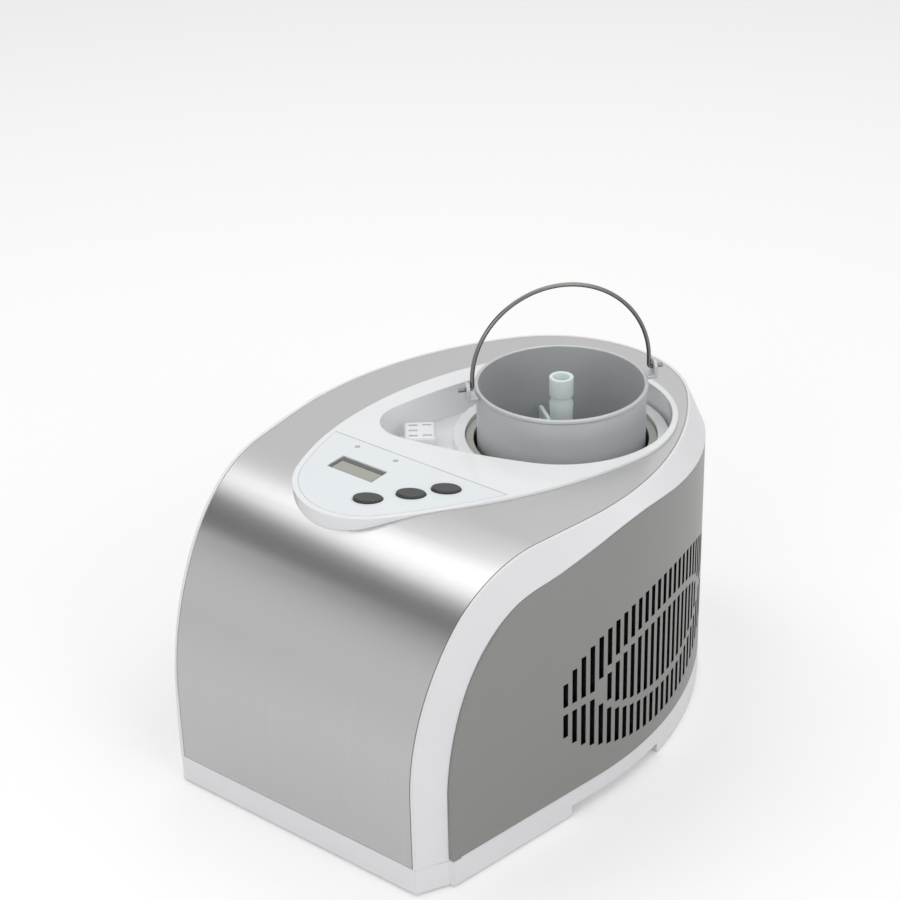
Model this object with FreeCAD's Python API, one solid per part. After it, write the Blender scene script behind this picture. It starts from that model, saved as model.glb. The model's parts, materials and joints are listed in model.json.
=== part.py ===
"""Self-cooling ice cream maker with a lift-out bowl, in millimetres.

Places are measured from the middle of the front face at floor level: X to the right, Y to the rear,
Z up. save() moves the origin to the middle of the footprint.
"""
import FreeCAD
import Part
import math
import os

V = FreeCAD.Vector
FIT = 0.3            # clearance between pieces that are set into one another
GUIDE = 0.4          # clearance round a piece that slides
RUN = 0.05           # radial clearance of a turning fit
FAR = 500.0          # longer than the object in every direction

# Housing
WIDTH = 285.0        # widest point of the plan
DEPTH = 395.0
GRID = 5.0           # places on the insert are counted across in these steps
DEEP = DEPTH / 79    # places are counted from front to rear in these steps
SIDE_Y = 38.2 * DEEP  # depth of the widest point
REAR_RADIUS = 112.0  # radius of the rear wall
FRONT_HALF = 116.0   # half width of the side walls where they reach the front face
TOP_Z = 217.5        # flat top of the steel panel
BEND_Y = 22 * DEEP   # depth of the bend from front to top
BEND_Z = 75.0        # height where the bend starts
BEND_RADIUS = 93.0   # upper radius of the bend

# White frame with its slanted band
BAND_LEG = 11.0      # width of the band, taken from the front and top
BAND_FRONT = 21.0    # width of the band, taken from the side wall at the front
BAND_REAR = 26.0     # width of the band at the rear
BAND_STEP = 3.5      # depth of the band's foot below the side cover, at the front
BAND_STATIONS = 4    # stretches of the band over the bend
BAND_TOP = ((-8, 12.5), (2, 7.5), (10.5, 11.5), (20.5, 17.5), (33, 24))  # bearing and width beside the top
BAND_REAR_BEARINGS = (48, 68, 90, 106)
FRAME_SKIN = 4.0
FRAME_WALL = 6.8
PANEL_INSET = 13.2   # edge of the steel panel, in from the side wall
PANEL_SHEET = 1.2
PANEL_GROOVE = 0.6
COVER_SHEET = 4.2
COVER_GAP = 1.0      # joint between the covers and the base
COVER_REAR = 71.2 * DEEP  # where the side covers meet the rear cover

# Base tray
FOOT_GAP = 1.5
BASE_TOP = 21.0
BASE_RIM = 7.2
BASE_FLOOR = 3.0
BASE_ARCH = 9.0      # height of the cut in the skirt
ARCH_FRONT = 25.6 * DEEP
ARCH_REAR = 44.4 * DEEP
FOOT_RADIUS = 11.0
FOOT_FRONT_HALF = 86.0
FOOT_REAR_HALF = 92.0
FOOT_PLACES = (V(FOOT_FRONT_HALF, BAND_FRONT + FOOT_RADIUS), V(FOOT_REAR_HALF, 57.6 * DEEP))
STAND_HALF = 58.0    # reach of the crossed ribs under the cold well

# Grilles
GRILLE_Y = 45.6 * DEEP
GRILLE_Z = 90.0
GRILLE_LENGTH = 23 * DEEP
GRILLE_HEIGHT = 56.0
GRILLE_PITCH = 8.2
GRILLE_SLOT = 4.4
GRILLE_EDGE = 4.0    # least length of a slot
WEB = 6.0            # width of the plain oval line across the slots
WEB_LENGTH = 15 * DEEP
WEB_HEIGHT = 29.0
REAR_SLOTS = 6       # slots on each side of the middle one at the rear
REAR_SLOT_HEIGHT = 56.0

# Bowl, and the well and insert round it
BOWL_RADIUS = 59.5
POT_GAP = 2.5        # room between the bowl and the cold pot
RING_WIDTH = 6.0
COLLAR_WIDTH = 8.0
RECESS_GAP = 2.0     # groove between the collar and the recess wall
INSERT_RIM = 13.0    # flat rim of the insert round the recess
POT_RADIUS = BOWL_RADIUS + POT_GAP
WELL_RADIUS = POT_RADIUS + RING_WIDTH
COLLAR_RADIUS = WELL_RADIUS + COLLAR_WIDTH
RECESS_RADIUS = COLLAR_RADIUS + RECESS_GAP

# Top insert
DROP_RADIUS = RECESS_RADIUS + INSERT_RIM
INSERT_SHARE = 0.47  # the insert is off the middle by this share of the room beside it
DROP = V(INSERT_SHARE * (WIDTH / 2 - PANEL_INSET - DROP_RADIUS), 51.6 * DEEP)
TIP = DROP + V(-7.6 * GRID, -28 * DEEP)
TIP_RADIUS = 56.0
DROP_LEFT = 250.0    # radius of the insert's left edge
DROP_RIGHT = 310.0
INSERT_TOP = 219.3
INSERT_SHEET = 4.0
CROWN_Y = 30 * DEEP  # the insert falls towards its tip from here
CROWN_RADIUS = 850.0
PLUG_INSET = 5.0

# Recess and cold well
WELL = DROP + V(1.4 * GRID, 1.2 * DEEP)
LOBE = DROP + V(-12.8 * GRID, -12.8 * DEEP)
LOBE_RADIUS = 27.5
LOBE_SIDE = 400.0
RECESS_FLOOR = 195.0
RECESS_SHEET = 3.0
TUB_WALL = 2.0
COLLAR_TOP = 203.0
RING_TOP = 200.0
RING_SHEET = 3.0
POT_SHEET = 1.5
SLEEVE_SHEET = 4.0   # evaporator sleeve round the pot
SLEEVE_DROP = 8.0    # top of the sleeve below the recess
JACKET_RADIUS = 86.0
JACKET_FLOOR = 16.0
JACKET_SIDES = 8

# Bowl's form, paddle and bail
BOWL_WALL = 1.5
BOWL_HEIGHT = 130.0
BOWL_CORNER = 4.5
ROLL = 1.2           # the rolled rim stands proud of the wall
ROLL_HEIGHT = 3.0
BOWL_RAISED = 35.0   # how far the bowl is lifted at rest
BOWL_SEAT = 78.0
PIN_RADIUS = 5.0
PIN_HEIGHT = 24.0
EAR_ANGLE = 53.0
EAR_REACH = BOWL_RADIUS + 1.9 * GRID
EAR_SHEET = 2.5
EAR_WIDTH = 11.0
EAR_DROP = 2.0       # top of the ear's shelf below the rim
HINGE_RISE = 3.0     # hinge of the bail above the rim
BAIL_WIRE = 1.5
BAIL_SIDES = 6
BAIL_RADIUS = BOWL_RADIUS + 0.9 * GRID
BAIL_STUB = BOWL_RADIUS + 2.9 * GRID
BAIL_BEND = 2.0
BAIL_LEG = 6.0
HUB_RADIUS = 8.5
HUB_BORE = 6.0
HUB_NECK = 6.3       # radius of the neck under the hub's tube
HUB_TUBE = 14.5
HUB_BULGE = 20.5     # widest point of the bulge below the hub's top
HUB_SKIRT = 29.0
HUB_PROUD = 4.0
HUB_FLOOR = 3.0
SHAFT_WALL = 3.0
BLADE_SHEET = 3.0
BLADE_REACH = BOWL_RADIUS - 1.3 * GRID
BLADE_HEIGHT = 84.0
BLADE_BAR = 9.0

# Controls
OVERLAY_SHEET = 0.5
OVERLAY_INSET = 4.0
OVERLAY_EDGE = 29.4 * DEEP
DISPLAY = TIP + V(-3 * GRID, -0.4 * DEEP)
DISPLAY_LENGTH = 39.0
DISPLAY_WIDTH = 16.0
DISPLAY_SINK = 1.2
DISPLAY_SHEET = 1.2
DISPLAY_LEDGE = 2.6  # width of the ledge that carries the window
LAMPS = (TIP + V(-7 * GRID, 4.2 * DEEP), TIP + V(-0.2 * GRID, 4.2 * DEEP))
LAMP_RADIUS = 1.4
BUTTONS = {"left_button": TIP + V(3.2 * GRID, -5.4 * DEEP),
           "middle_button": TIP + V(7.2 * GRID, -1.4 * DEEP),
           "right_button": TIP + V(10.2 * GRID, 2.2 * DEEP)}
BUTTON_LENGTH = 20.0
BUTTON_WIDTH = 12.5
BUTTON_TURN = 28.0
BUTTON_PROUD = 1.6
BUTTON_EDGE = 0.6
BUTTON_TRAVEL = 1.0
BUTTON_FLANGE = 1.2  # sheet of the flange, and its room below the insert
BOARD = TIP + V(1.2 * GRID, -DEEP)
BOARD_SHEET = 1.6
BOARD_DROP = 10.0    # board below the underside of the insert
BOARD_LENGTH = 104.0
BOARD_WIDTH = 52.0
POSTS = (TIP + V(-7.6 * GRID, -4.4 * DEEP), TIP + V(-7.6 * GRID, 2.4 * DEEP),
         TIP + V(5.6 * GRID, 2.6 * DEEP), TIP + V(6.4 * GRID, -5 * DEEP))
POST = 6.0
SWITCH = 6.0
SOCKET = LOBE + V(-GRID, 1.2 * DEEP)
SOCKET_LENGTH = 22.0
SOCKET_WIDTH = 26.0
SOCKET_HEIGHT = 13.0
SOCKET_TURN = 41.0
SOCKET_EDGE = 1.6
CONTACTS = (V(-5, -8), V(5, -8), V(-5, 0), V(-5, 8), V(5, 8))
CONTACT_LENGTH = 6.0
CONTACT_SLOT = 2.4
CONTACT_DEPTH = 8.0
CONTACT_SHEET = 0.8
CONTACT_HEIGHT = 4.0

# Cooling unit
COMPRESSOR = V(-8.4 * GRID, 19.2 * DEEP)
COMPRESSOR_RADIUS = 46.0
COMPRESSOR_HEIGHT = 112.0
DOME_RADIUS = 32.0
DOME_HEIGHT = 15.0
PLATE = 101.0        # square foot plate of the compressor
PLATE_SHEET = 2.0
TERMINAL_LENGTH = 23.0
TERMINAL_WIDTH = 46.0
TERMINAL_HEIGHT = 46.0
TERMINAL_RISE = 5.0
MOUNT = 16.0
MOUNT_HEIGHT = 12.0
FAN_Y = 44.4 * DEEP
FAN_Z = 92.0
FAN_RADIUS = 44.0
FAN_TIP = 2.0        # room round the fan
FAN_BLADES = 7
FAN_HUB = 14.0
FAN_SHAFT = 2.0
FAN_PITCH = 32.0
FAN_BLADE = 1.6
MOTOR_LENGTH = 20.0
SHROUD_SHEET = 14.0
SHROUD_WALL = 3.0
STRUT = 4.0
CONDENSER_X = -121.0
CONDENSER_SHEET = 22.0
CONDENSER_HALF = 50.0
CONDENSER_FINS = 12
FIN_SHEET = 2.0
FIN_EDGE = 5.0
PIPE_RADIUS = 3.0
PIPE_SIDES = 6
HOT_PIPE = 7.0       # hot pipe, in from the condenser's outer face
DRIER = V(-20.8 * GRID, 30 * DEEP)
DRIER_RADIUS = 8.0
DRIER_LENGTH = 60.0
DRIER_LOW = 38.0
LIQUID_Z = 22.0      # height of the pipe from the condenser to the drier
HOT_RISE = 24.0      # rise of the hot and cold pipes above the compressor
HOT_FALL = 16.0      # hot pipe meets the condenser this far below its top
COLD_PIPE = 15.0     # hot and cold pipe, from the middle of the compressor
CAPILLARY_Z = 170.0
CAPILLARY_X = -5.0
POWER_BOARD = V(14.4 * GRID, 18.4 * DEEP)
POWER_LENGTH = 90.0
POWER_HEIGHT = 70.0
TRANSFORMER = V(24, 30, 30)
TRANSFORMER_PLACE = V(0, 10, 14)
CAPACITOR = V(14, 14, 28)
CAPACITOR_PLACE = V(0, 52, 12)
GLAND = V(9 * GRID, 0, 9 * GRID)
GLAND_RADIUS = 7.0
GLAND_BORE = 3.5
GLAND_LENGTH = 16.0
GLAND_FACE = DEPTH - 0.7 * GRID  # outer face of the gland

REAR_CENTRE = V(0, DEPTH - REAR_RADIUS)
REAR_SPAN = REAR_CENTRE.y - SIDE_Y
SIDE_RADIUS = ((WIDTH / 2) ** 2 + REAR_SPAN ** 2 - REAR_RADIUS ** 2) / (WIDTH - 2 * REAR_RADIUS)
SIDE_CENTRE = V(WIDTH / 2 - SIDE_RADIUS, SIDE_Y)
WALLS_MEET = math.atan2(REAR_SPAN, -SIDE_CENTRE.x)
BEND_RISE = TOP_Z - BEND_RADIUS - BEND_Z
FRONT_RADIUS = (BEND_Y ** 2 + BEND_RISE ** 2 - BEND_RADIUS ** 2) / (2 * (BEND_Y - BEND_RADIUS))
BENDS_MEET = math.atan2(BEND_RISE, FRONT_RADIUS - BEND_Y)
COVER_BOTTOM = BASE_TOP + COVER_GAP
FLOOR_Z = BASE_ARCH + BASE_FLOOR
RECESS_UNDER = RECESS_FLOOR - RECESS_SHEET
BOWL_BASE = BOWL_SEAT + BOWL_RAISED
RIM_Z = BOWL_BASE + BOWL_HEIGHT
POT_OUTER = POT_RADIUS + POT_SHEET
POT_UNDER = BOWL_SEAT - FIT - POT_SHEET
JACKET_BASE = POT_UNDER - JACKET_FLOOR
HINGE_Z = RIM_Z + HINGE_RISE
BOARD_Z = INSERT_TOP - INSERT_SHEET - BOARD_DROP
COMPRESSOR_LOW = FLOOR_Z + MOUNT_HEIGHT
COMPRESSOR_TOP = COMPRESSOR_LOW + COMPRESSOR_HEIGHT
CONDENSER_INNER = CONDENSER_X + CONDENSER_SHEET
CONDENSER_TOP = FAN_Z + CONDENSER_HALF


def save(name, shape):
    """Move the origin to the middle of the footprint, and write one node."""
    placed = shape.copy()
    placed.translate(V(0, -DEPTH / 2, 0))
    placed.exportStep("parts/" + name + ".step")


def at(place, z):
    return V(place.x, place.y, z)


def prism(wire, low, high):
    """Upright solid on a closed wire that was drawn at height zero."""
    face = Part.Face(wire)
    face.translate(V(0, 0, low))
    return face.extrude(V(0, 0, high - low))


def across(wire):
    """Solid on a closed wire drawn in the side view, through the whole width."""
    face = Part.Face(wire)
    face.translate(V(-FAR, 0, 0))
    return face.extrude(V(2 * FAR, 0, 0))


def loop(points):
    return Part.makePolygon(points + [points[0]])


def ring(centre, first, second, radius, sides):
    """Regular polygon in the plane of two directions."""
    turns = [2 * math.pi * side / sides for side in range(sides)]
    return loop([centre + (first * math.cos(turn) + second * math.sin(turn)) * radius for turn in turns])


def arc(start, middle, end):
    return Part.Arc(start, middle, end).toShape()


def box(low, high):
    size = high - low
    return Part.makeBox(size.x, size.y, size.z, low)


def rod(place, radius, low, high):
    return Part.makeCylinder(radius, high - low, at(place, low))


def turned(place, outline):
    """Solid of revolution about an upright axis, from (radius, height) points."""
    face = Part.Face(loop([V(radius, 0, height) for radius, height in outline]))
    solid = face.revolve(V(), V(0, 0, 1), 360)
    solid.translate(at(place, 0))
    return solid


def mirrored(shape):
    return shape.mirror(V(), V(1, 0, 0))


def both(shape):
    return [shape, mirrored(shape)]


def joined(shapes):
    return shapes[0].multiFuse(shapes[1:]).removeSplitter()


def pared(shape, wedges):
    """Shape with overlapping wedges cut off, one after the other."""
    for wedge in wedges:
        shape = shape.cut(wedge)
    return shape


def plan_point(bearing, inset=0.0):
    """Point of the curved wall whose outward normal has this bearing."""
    centre, radius = SIDE_CENTRE, SIDE_RADIUS
    if bearing > WALLS_MEET:
        centre, radius = REAR_CENTRE, REAR_RADIUS
    return centre + V(math.cos(bearing), math.sin(bearing)) * (radius - inset)


def touch_bearing(inset=0.0):
    """Bearing of the flat side wall, which runs into the side arc."""
    out = V(FRONT_HALF - inset, 0) - SIDE_CENTRE
    return math.atan2(out.y, out.x) + math.acos((SIDE_RADIUS - inset) / out.Length)


def wall_point(y, inset=0.0):
    """Point of the flat side wall at this depth."""
    half = FRONT_HALF - inset
    touch = plan_point(touch_bearing(inset), inset)
    return V(half + (touch.x - half) * y / touch.y, y)


def plan_wire(inset=0.0, front=0.0):
    """Plan of the housing: straight front, flaring sides, round rear."""
    start = touch_bearing(inset)
    touch, meet = plan_point(start, inset), plan_point(WALLS_MEET, inset)
    bulge = plan_point((start + WALLS_MEET) / 2, inset)
    corner = wall_point(front, inset)
    right = [Part.makeLine(corner, touch), arc(touch, bulge, meet)]
    left = [mirrored(edge) for edge in right]
    rear = arc(meet, plan_point(math.pi / 2, inset), V(-meet.x, meet.y))
    face = Part.makeLine(V(-corner.x, corner.y), corner)
    return Part.Wire(Part.__sortEdges__([face, rear] + right + left))


def bend_point(angle, inset=0.0):
    """Point of the bend in the side view, by the rise of its outward normal."""
    centre, radius = V(0, FRONT_RADIUS, BEND_Z), FRONT_RADIUS
    if angle > BENDS_MEET:
        centre, radius = V(0, BEND_Y, TOP_Z - BEND_RADIUS), BEND_RADIUS
    return centre + V(0, -math.cos(angle), math.sin(angle)) * (radius - inset)


def profile_solid(inset=0.0):
    """Everything behind and below the front and top surface, in the side view."""
    upright = math.pi / 2
    stops = (0, BENDS_MEET / 2, BENDS_MEET, (BENDS_MEET + upright) / 2, upright)
    marks = [bend_point(stop, inset) for stop in stops]
    rear_top, rear_low, front_low = V(0, FAR, TOP_Z - inset), V(0, FAR, -FAR), V(0, inset, -FAR)
    edges = [arc(*marks[:3]), arc(*marks[2:]), Part.makeLine(marks[4], rear_top)]
    edges += [Part.makeLine(rear_top, rear_low), Part.makeLine(rear_low, front_low)]
    edges.append(Part.makeLine(front_low, marks[0]))
    return across(Part.Wire(edges))


def band_stations():
    """Edge of the housing from the front foot over the bend and round the rear.

    Each station has the edge, the inward normals of wall and panel, the band's width on the wall and
    the depth of its foot.
    """
    flat = touch_bearing()
    wall = V(-math.cos(flat), -math.sin(flat))
    rows = []
    for z in (-BEND_Z, 0):
        rows.append((at(wall_point(0), z), wall, V(0, 1, 0), BAND_FRONT, BAND_STEP))
    for station in range(BAND_STATIONS + 1):
        share = station / BAND_STATIONS
        angle = share * math.pi / 2
        spot = bend_point(angle)
        inward = V(0, math.cos(angle), -math.sin(angle))
        rows.append((at(wall_point(spot.y), spot.z), wall, inward, BAND_FRONT, BAND_STEP * (1 - share)))
    for degrees, width in BAND_TOP + tuple((bearing, BAND_REAR) for bearing in BAND_REAR_BEARINGS):
        bearing = math.radians(degrees)
        wall = V(-math.cos(bearing), -math.sin(bearing))
        rows.append((at(plan_point(bearing), TOP_Z), wall, V(0, 0, -1), width, 0))
    return rows


def band_edges(station, more=0.0):
    """The band's edge on the panel and its foot on the wall, with the directions to them."""
    edge, wall, inward, width, step = station
    over = (wall - inward * wall.dot(inward)).normalize()
    down = (inward - wall * inward.dot(wall)).normalize()
    return edge + over * BAND_LEG, edge + down * (width + more) + wall * step, over, down


def band_corner(station):
    """Triangle outside the band's slanted face."""
    high, foot, over, down = band_edges(station)
    line = (high - foot).normalize()
    outside = station[0] - (over + down) * BAND_LEG
    return loop([high + line * BAND_LEG, foot - line * BAND_LEG, outside])


def band_cut():
    """Wedges that take the corner off the housing and leave the band's slanted face."""
    return both(Part.makeLoft([band_corner(station) for station in band_stations()], True, False))


def cover_region(shrink=0.0):
    """Side view of a side cover: under the band, in front of the rear cover."""
    feet = [band_edges(station, shrink)[1] for station in band_stations()[2:]]
    feet = [V(0, foot.y, foot.z) for foot in feet if foot.y < COVER_REAR + BAND_FRONT]
    curve = Part.BSplineCurve()
    curve.interpolate(feet)
    first, last = feet[0], feet[-1]
    low_rear, low_front = V(0, last.y, COVER_BOTTOM), V(0, first.y, COVER_BOTTOM)
    edges = [curve.toShape(), Part.makeLine(last, low_rear)]
    edges += [Part.makeLine(low_rear, low_front), Part.makeLine(low_front, first)]
    region = across(Part.Wire(edges))
    return region.common(box(V(-FAR, 0, 0), V(FAR, COVER_REAR - shrink, FAR)))


def rear_region(shrink=0.0):
    top = TOP_Z - BAND_REAR - shrink
    return box(V(-FAR, COVER_REAR + shrink, COVER_BOTTOM), V(FAR, FAR, top))


def drop_wire(small, small_radius, large, large_radius, left, right):
    """Drop shape: two circles joined by two wide arcs that run into them."""
    axis = (large - small).normalize()
    side = V(axis.y, -axis.x)
    span = (large - small).Length
    edges = []
    ends = {}
    for name, radius, turn in (("right", right, 1), ("left", left, -1)):
        to_small, to_large = radius - small_radius, radius - large_radius
        along = (to_small ** 2 - to_large ** 2 + span ** 2) / (2 * span)
        centre = small + axis * along - side * turn * math.sqrt(to_small ** 2 - along ** 2)
        ends[name] = [centre + (spot - centre).normalize() * radius for spot in (small, large)]
        middle = centre + ((ends[name][0] + ends[name][1]) / 2 - centre).normalize() * radius
        edges.append(arc(ends[name][0], middle, ends[name][1]))
    edges.append(arc(ends["right"][0], small - axis * small_radius, ends["left"][0]))
    edges.append(arc(ends["right"][1], large + axis * large_radius, ends["left"][1]))
    return Part.Wire(Part.__sortEdges__(edges))


def insert_wire(inset=0.0):
    return drop_wire(TIP, TIP_RADIUS - inset, DROP, DROP_RADIUS - inset,
                     DROP_LEFT - inset, DROP_RIGHT - inset)


def recess_wire(grow=0.0):
    return drop_wire(LOBE, LOBE_RADIUS + grow, WELL, RECESS_RADIUS + grow,
                     LOBE_SIDE + grow, LOBE_SIDE + grow)


def crown_z(place):
    """Height of the insert's top at a place."""
    fall = max(CROWN_Y - place.y, 0)
    return INSERT_TOP - CROWN_RADIUS + math.sqrt(CROWN_RADIUS ** 2 - fall ** 2)


def insert_under(drop=0.0):
    """Everything below the insert's crowned top, lowered by drop."""
    crown = [V(0, y, crown_z(V(0, y)) - drop) for y in (CROWN_Y, CROWN_Y / 2, 0)]
    rear_top, rear_low, front_low = V(0, FAR, INSERT_TOP - drop), V(0, FAR, 0), V(0, 0, 0)
    edges = [arc(*crown), Part.makeLine(crown[2], front_low)]
    edges += [Part.makeLine(front_low, rear_low), Part.makeLine(rear_low, rear_top)]
    edges.append(Part.makeLine(rear_top, crown[0]))
    return across(Part.Wire(edges))


def placed(solid, place, turn):
    """Solid drawn about the origin, turned and set at a place."""
    solid.rotate(V(), V(0, 0, 1), turn)
    solid.translate(at(place, 0))
    return solid


def oval(place, grow, low, high):
    """Upright oval block of a push button's outline."""
    ellipse = Part.Ellipse(V(), BUTTON_LENGTH / 2 + grow, BUTTON_WIDTH / 2 + grow).toShape()
    return placed(prism(Part.Wire([ellipse]), low, high), place, BUTTON_TURN)


def block(place, length, width, turn, low, high):
    """Upright rectangular block, turned about its middle."""
    return placed(box(V(-length / 2, -width / 2, low), V(length / 2, width / 2, high)), place, turn)


def base_tray():
    station = band_stations()[0]
    corner = Part.Face(band_corner(station)).extrude(V(0, 0, FAR))
    corner = corner.common(box(V(0, -FAR, -FAR), V(FAR, band_edges(station)[1].y, FAR)))
    body = prism(plan_wire(), FOOT_GAP, BASE_TOP).cut(both(corner))
    inside = prism(plan_wire(BASE_RIM, BAND_FRONT), FLOOR_Z, FAR)
    under = prism(plan_wire(BASE_RIM, BAND_FRONT), 0, BASE_ARCH)
    arch = box(V(-FAR, ARCH_FRONT, 0), V(FAR, ARCH_REAR, BASE_ARCH))
    rib, half = BASE_FLOOR / 2, STAND_HALF
    low, high = at(WELL, FLOOR_Z), at(WELL, JACKET_BASE)
    stand = [box(low - V(half, rib, 0), high + V(half, rib, 0)),
             box(low - V(rib, half, 0), high + V(rib, half, 0))]
    return joined([body.cut([inside, under, arch])] + stand)


def rubber_feet():
    pads = []
    for place in FOOT_PLACES:
        pads += both(rod(place, FOOT_RADIUS, 0, BASE_ARCH))
    return Part.makeCompound(pads)


def housing_opening(gap):
    """Room that the insert's plate and tub need in the panel and the frame."""
    plate = prism(insert_wire(PLUG_INSET - gap), BEND_Z, FAR)
    return plate.fuse(prism(recess_wire(TUB_WALL + gap), BEND_Z, FAR))


def gland_rod(radius, start, end):
    return Part.makeCylinder(radius, end - start, V(GLAND.x, start, GLAND.z), V(0, 1, 0))


def rear_slot_half():
    return REAR_SLOTS * GRILLE_PITCH + GRILLE_SLOT / 2


def body_frame():
    body = pared(prism(plan_wire(), BASE_TOP, FAR).common(profile_solid()), band_cut())
    wide = prism(plan_wire(FRAME_WALL), 0, FAR).common(profile_solid(BAND_REAR + FRAME_SKIN))
    narrow = prism(plan_wire(BAND_LEG + FRAME_SKIN), 0, FAR).common(profile_solid(FRAME_SKIN))
    rebate = prism(plan_wire(PANEL_INSET, -PANEL_INSET), 0, FAR).cut(profile_solid(PANEL_SHEET))
    pocket = prism(plan_wire(-FRAME_WALL), 0, FAR).cut(prism(plan_wire(COVER_SHEET), 0, FAR))
    pockets = [pocket.common(cover_region()), pocket.common(rear_region())]
    side_air = box(V(-FAR, GRILLE_Y - GRILLE_LENGTH, GRILLE_Z - GRILLE_HEIGHT),
                   V(FAR, GRILLE_Y + GRILLE_LENGTH, GRILLE_Z + GRILLE_HEIGHT))
    rear_air = box(V(-rear_slot_half(), REAR_CENTRE.y, GRILLE_Z),
                   V(rear_slot_half(), FAR, GRILLE_Z + REAR_SLOT_HEIGHT))
    gland = gland_rod(GLAND_RADIUS + FIT, REAR_CENTRE.y, FAR)
    cuts = [wide.fuse(narrow), rebate, housing_opening(FIT), side_air, rear_air, gland]
    return body.cut(cuts + pockets)


def front_top_panel():
    sheet = prism(plan_wire(PANEL_INSET + PANEL_GROOVE, -PANEL_INSET), BASE_TOP + PANEL_GROOVE, FAR)
    sheet = sheet.common(profile_solid()).cut(profile_solid(PANEL_SHEET))
    return sheet.cut(housing_opening(FIT))


def oval_height(offset, half_length, half_height):
    share = 1 - (offset / half_length) ** 2
    return half_height * math.sqrt(share) if share > 0 else 0.0


def slot_spans(offset):
    """Heights, from the middle of the grille, between which one column is open."""
    tall = oval_height(offset, GRILLE_LENGTH, GRILLE_HEIGHT)
    outer = oval_height(offset, WEB_LENGTH + WEB / 2, WEB_HEIGHT + WEB / 2)
    inner = oval_height(offset, WEB_LENGTH - WEB / 2, WEB_HEIGHT - WEB / 2)
    edge = max(outer, WEB / 2)
    spans = [(edge, tall), (-tall, -edge), (-inner, inner)]
    return [span for span in spans if span[1] - span[0] > GRILLE_EDGE]


def grille_slots():
    """Columns of the oval grille, broken by the plain oval line."""
    slots = []
    half = GRILLE_SLOT / 2
    count = int((GRILLE_LENGTH - GRILLE_EDGE) / GRILLE_PITCH)
    for column in range(-count, count + 1):
        offset = column * GRILLE_PITCH
        y = GRILLE_Y + offset
        for low, high in slot_spans(offset):
            slots.append(box(V(0, y - half, GRILLE_Z + low), V(FAR, y + half, GRILLE_Z + high)))
    return Part.makeCompound(slots)


def wall_sheet():
    return prism(plan_wire(), 0, FAR).cut(prism(plan_wire(COVER_SHEET), 0, FAR))


def right_side_cover():
    sheet = wall_sheet().common(cover_region(FIT)).common(box(V(), V(FAR, FAR, FAR)))
    return sheet.cut(grille_slots())


def rear_cover():
    slots = []
    half = GRILLE_SLOT / 2
    for column in range(-REAR_SLOTS, REAR_SLOTS + 1):
        x = column * GRILLE_PITCH
        slots.append(box(V(x - half, 0, GRILLE_Z), V(x + half, FAR, GRILLE_Z + REAR_SLOT_HEIGHT)))
    gland = gland_rod(GLAND_RADIUS + RUN, REAR_CENTRE.y, FAR)
    return wall_sheet().common(rear_region(FIT)).cut(Part.makeCompound(slots)).cut(gland)


def cord_gland():
    """Bush pressed into the rear wall."""
    bush = gland_rod(GLAND_RADIUS, GLAND_FACE - GLAND_LENGTH, GLAND_FACE)
    return bush.cut(gland_rod(GLAND_BORE, 0, FAR))


def display_pocket(grow, low, high):
    return block(DISPLAY, DISPLAY_LENGTH + grow, DISPLAY_WIDTH + grow, 0, low, high)


def control_holes():
    """Holes for the lamps and the buttons."""
    holes = [rod(lamp, LAMP_RADIUS + GUIDE, BEND_Z, FAR) for lamp in LAMPS]
    return holes + [oval(place, GUIDE, BEND_Z, FAR) for place in BUTTONS.values()]


def overlay_region(shrink):
    area = prism(insert_wire(OVERLAY_INSET + shrink), BEND_Z, FAR)
    return area.common(box(V(-FAR, 0, 0), V(FAR, OVERLAY_EDGE - shrink, FAR)))


def window_top():
    return crown_z(DISPLAY) - DISPLAY_SINK


def top_insert():
    rim = prism(insert_wire(), BEND_Z, FAR).common(insert_under()).cut(profile_solid())
    plate = prism(insert_wire(PLUG_INSET), BEND_Z, FAR).common(insert_under())
    plate = plate.cut(insert_under(INSERT_SHEET))
    tub = prism(recess_wire(TUB_WALL), RECESS_UNDER, FAR).common(insert_under())
    posts = [block(place, POST, POST, 0, BOARD_Z, crown_z(place) - INSERT_SHEET / 2) for place in POSTS]
    body = rim.multiFuse([plate, tub] + posts).cut(prism(recess_wire(), RECESS_FLOOR, FAR))
    body = body.fuse(rod(WELL, COLLAR_RADIUS, RECESS_UNDER, COLLAR_TOP))
    cuts = [rod(WELL, WELL_RADIUS, 0, FAR), overlay_region(0).cut(insert_under(OVERLAY_SHEET))]
    cuts.append(display_pocket(2 * FIT, window_top() - DISPLAY_SHEET, FAR))
    cuts.append(display_pocket(-2 * DISPLAY_LEDGE, 0, FAR))
    return body.cut(cuts + control_holes()).removeSplitter()


def control_overlay():
    sheet = overlay_region(FIT).common(insert_under()).cut(insert_under(OVERLAY_SHEET))
    return sheet.cut([display_pocket(2 * FIT, 0, FAR)] + control_holes())


def display_window():
    return display_pocket(0, window_top() - DISPLAY_SHEET, window_top())


def display_module():
    return display_pocket(-2 * DISPLAY_LEDGE - 2 * FIT, BOARD_Z, window_top() - DISPLAY_SHEET)


def indicator_lenses():
    return Part.makeCompound([rod(lamp, LAMP_RADIUS, BOARD_Z, crown_z(lamp)) for lamp in LAMPS])


def flange_top(place):
    return crown_z(place) - INSERT_SHEET - BUTTON_FLANGE


def push_button(place):
    top = crown_z(place) + BUTTON_PROUD
    cap = oval(place, 0, flange_top(place), top)
    edges = [edge for edge in cap.Edges if edge.BoundBox.ZMin > top - BUTTON_EDGE]
    cap = cap.makeChamfer(BUTTON_EDGE, edges)
    low = flange_top(place) - BUTTON_FLANGE
    flange = block(place, BUTTON_LENGTH, BUTTON_WIDTH, BUTTON_TURN, low, flange_top(place))
    return joined([cap, flange])


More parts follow.
